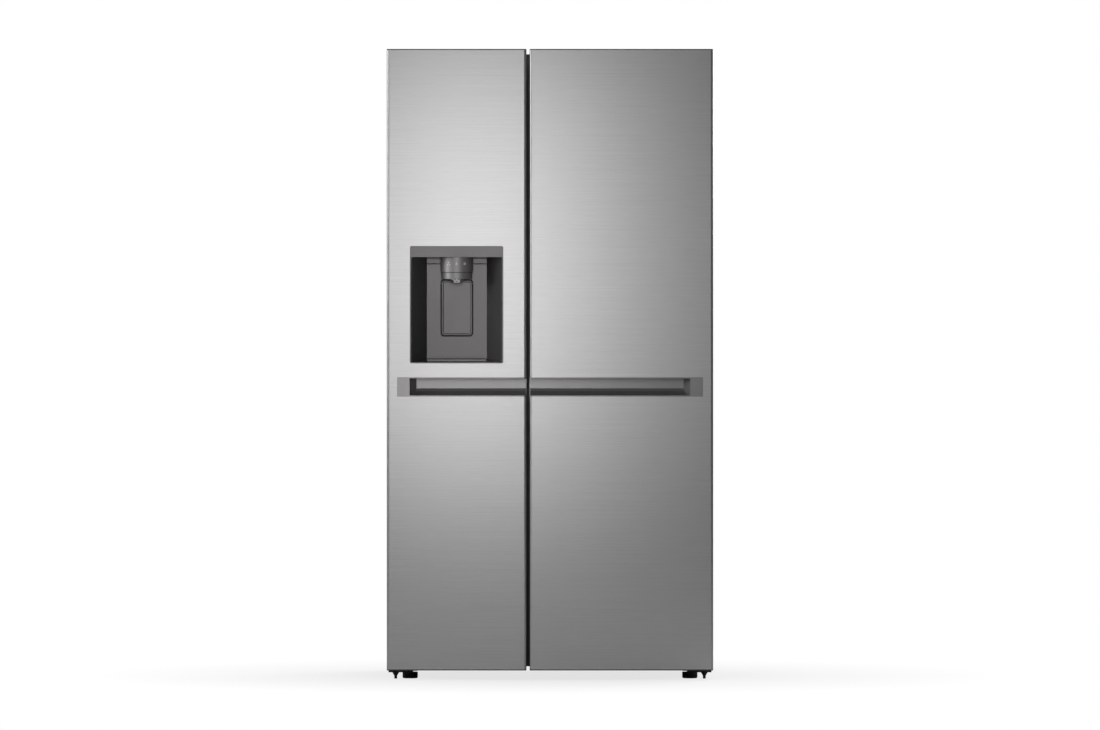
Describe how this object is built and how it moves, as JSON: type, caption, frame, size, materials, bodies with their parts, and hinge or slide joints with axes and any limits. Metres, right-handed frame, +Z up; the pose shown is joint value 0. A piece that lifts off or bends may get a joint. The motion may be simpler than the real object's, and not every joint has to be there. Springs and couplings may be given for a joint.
{
  "type": "side by side refrigerator",
  "caption": "Free-standing side by side refrigerator and freezer with brushed steel doors, a recessed ice and water dispenser and scooped handles across the doors.",
  "frame": {"origin": "on the floor under the middle of the width and depth", "axes": "+X to the right seen from the front, +Y to the rear (the doors face -Y), +Z up"},
  "size_m": [0.913, 0.735, 1.7665],
  "materials": {
    "brushed_steel": "fine horizontal brushing, satin",
    "case_paint": "textured grey paint",
    "galvanised": "zinc coated sheet",
    "black_steel": "black satin coating",
    "foam": "rigid insulating foam",
    "white_liner": "smooth moulded",
    "dark_plastic": "dark grey satin moulding",
    "grey_plastic": "satin moulding",
    "light_plastic": "satin moulding",
    "clear_plastic": "clear moulding",
    "glass": "toughened pane",
    "gasket": "flexible seal",
    "rubber": "moulded rubber",
    "bright_metal": "polished plating",
    "aluminium": "mill finish fins and tube",
    "white_wire": "coated wire",
    "black_plastic": "black moulding"
  },
  "bodies": {
    "cabinet": {"outer_wrapper": "case_paint", "rear_covers": "galvanised", "cabinet_insulation": "foam", "freezer_liner": "white_liner", "fridge_liner": "white_liner", "front_frame": "case_paint", "base_frame": "galvanised", "compressor": "black_steel", "compressor_mounts": "rubber", "evaporating_tray": "black_plastic", "condenser": "black_steel", "fan_motors": "galvanised", "water_valve": "light_plastic", "evaporator_cover": "white_liner", "evaporator": "aluminium", "fridge_air_duct": "white_liner", "control_box": "light_plastic", "fridge_shelves": "glass", "crisper_cover": "glass", "freezer_shelves": "white_wire", "drawer_runners": "white_liner", "ice_maker": "light_plastic", "ice_bin_carrier": "light_plastic", "ice_bin": "clear_plastic", "top_hinges": "galvanised", "hinge_covers": "dark_plastic", "bottom_hinges": "black_steel"},
    "freezer_door": {"freezer_door_skin": "brushed_steel", "freezer_door_foam": "foam", "freezer_door_liner": "white_liner", "freezer_door_gasket": "gasket", "freezer_door_caps": "dark_plastic", "freezer_door_handle": "grey_plastic", "freezer_door_bins": "clear_plastic", "dispenser_housing": "grey_plastic", "dispenser_turret": "grey_plastic", "dispenser_nozzle": "bright_metal", "ice_chute": "light_plastic"},
    "fridge_door": {"fridge_door_skin": "brushed_steel", "fridge_door_foam": "foam", "fridge_door_liner": "white_liner", "fridge_door_gasket": "gasket", "fridge_door_caps": "dark_plastic", "fridge_door_handle": "grey_plastic", "fridge_door_bins": "clear_plastic", "dairy_compartment": "white_liner"},
    "paddle": {"dispenser_paddle": "grey_plastic"},
    "flap": {"chute_flap": "light_plastic"},
    "lid": {"dairy_lid": "clear_plastic"},
    "freezer_drawer_1": {"freezer_drawer_lower": "clear_plastic"},
    "freezer_drawer_2": {"freezer_drawer_upper": "clear_plastic"},
    "crisper_1": {"crisper_drawer_lower": "clear_plastic"},
    "crisper_2": {"crisper_drawer_upper": "clear_plastic"},
    "auger": {"ice_auger": "aluminium"},
    "cold_fan": {"evaporator_fan": "black_plastic"},
    "warm_fan": {"condenser_fan": "black_plastic"},
    "foot_right": {"levelling_foot_right": "black_plastic"},
    "foot_left": {"levelling_foot_left": "black_plastic"},
    "roller_right": {"rear_roller_right": "black_plastic"},
    "roller_left": {"rear_roller_left": "black_plastic"}
  },
  "joints": [
    {"name": "freezer_door_hinge", "type": "hinge", "parent": "cabinet", "child": "freezer_door", "pos_m": [-0.4325, -0.31, 0.9], "axis": [0, 0, -1], "range_deg": [0, 130]},
    {"name": "fridge_door_hinge", "type": "hinge", "parent": "cabinet", "child": "fridge_door", "pos_m": [0.4325, -0.31, 0.9], "axis": [0, 0, 1], "range_deg": [0, 130]},
    {"name": "paddle_press", "type": "hinge", "parent": "freezer_door", "child": "paddle", "pos_m": [-0.26125, -0.2905, 1.11], "axis": [1, 0, 0], "range_deg": [0, 6], "stiffness_Nm_per_rad": 2, "springref_deg": -2.86},
    {"name": "chute_flap_hinge", "type": "hinge", "parent": "freezer_door", "child": "flap", "pos_m": [-0.26125, -0.2515, 1.3255], "axis": [1, 0, 0], "range_deg": [0, 40]},
    {"name": "dairy_lid_hinge", "type": "hinge", "parent": "fridge_door", "child": "lid", "pos_m": [0.26, -0.1715, 1.642], "axis": [1, 0, 0], "range_deg": [0, 85]},
    {"name": "freezer_drawer_lower_slide", "type": "slide", "parent": "cabinet", "child": "freezer_drawer_1", "axis": [0, -1, 0], "range_m": [0, 0.16]},
    {"name": "freezer_drawer_upper_slide", "type": "slide", "parent": "cabinet", "child": "freezer_drawer_2", "axis": [0, -1, 0], "range_m": [0, 0.16]},
    {"name": "crisper_drawer_lower_slide", "type": "slide", "parent": "cabinet", "child": "crisper_1", "axis": [0, -1, 0], "range_m": [0, 0.16]},
    {"name": "crisper_drawer_upper_slide", "type": "slide", "parent": "cabinet", "child": "crisper_2", "axis": [0, -1, 0], "range_m": [0, 0.16]},
    {"name": "ice_auger_spin", "type": "hinge", "parent": "cabinet", "child": "auger", "pos_m": [-0.26125, 0, 1.308], "axis": [0, 1, 0], "continuous": true},
    {"name": "evaporator_fan_spin", "type": "hinge", "parent": "cabinet", "child": "cold_fan", "pos_m": [-0.25075, 0.256, 1], "axis": [0, 1, 0], "continuous": true},
    {"name": "condenser_fan_spin", "type": "hinge", "parent": "cabinet", "child": "warm_fan", "pos_m": [-0.06, 0.255, 0.162], "axis": [1, 0, 0], "continuous": true},
    {"name": "levelling_foot_right_turn", "type": "hinge", "parent": "cabinet", "child": "foot_right", "pos_m": [0.3935, -0.221, 0.01], "axis": [0, 0, 1], "continuous": true},
    {"name": "levelling_foot_left_turn", "type": "hinge", "parent": "cabinet", "child": "foot_left", "pos_m": [-0.3935, -0.221, 0.01], "axis": [0, 0, 1], "continuous": true},
    {"name": "rear_roller_right_roll", "type": "hinge", "parent": "cabinet", "child": "roller_right", "pos_m": [0.3935, 0.3075, 0.02], "axis": [1, 0, 0], "continuous": true},
    {"name": "rear_roller_left_roll", "type": "hinge", "parent": "cabinet", "child": "roller_left", "pos_m": [-0.3935, 0.3075, 0.02], "axis": [1, 0, 0], "continuous": true}
  ],
  "couplings": [
    {"joint": "freezer_drawer_lower_slide", "follows": "freezer_door_hinge", "m_per_rad": 0.07},
    {"joint": "freezer_drawer_upper_slide", "follows": "freezer_door_hinge", "m_per_rad": 0.07},
    {"joint": "crisper_drawer_lower_slide", "follows": "fridge_door_hinge", "m_per_rad": 0.07},
    {"joint": "crisper_drawer_upper_slide", "follows": "fridge_door_hinge", "m_per_rad": 0.07},
    {"joint": "chute_flap_hinge", "follows": "paddle_press", "ratio": 6.6}
  ]
}
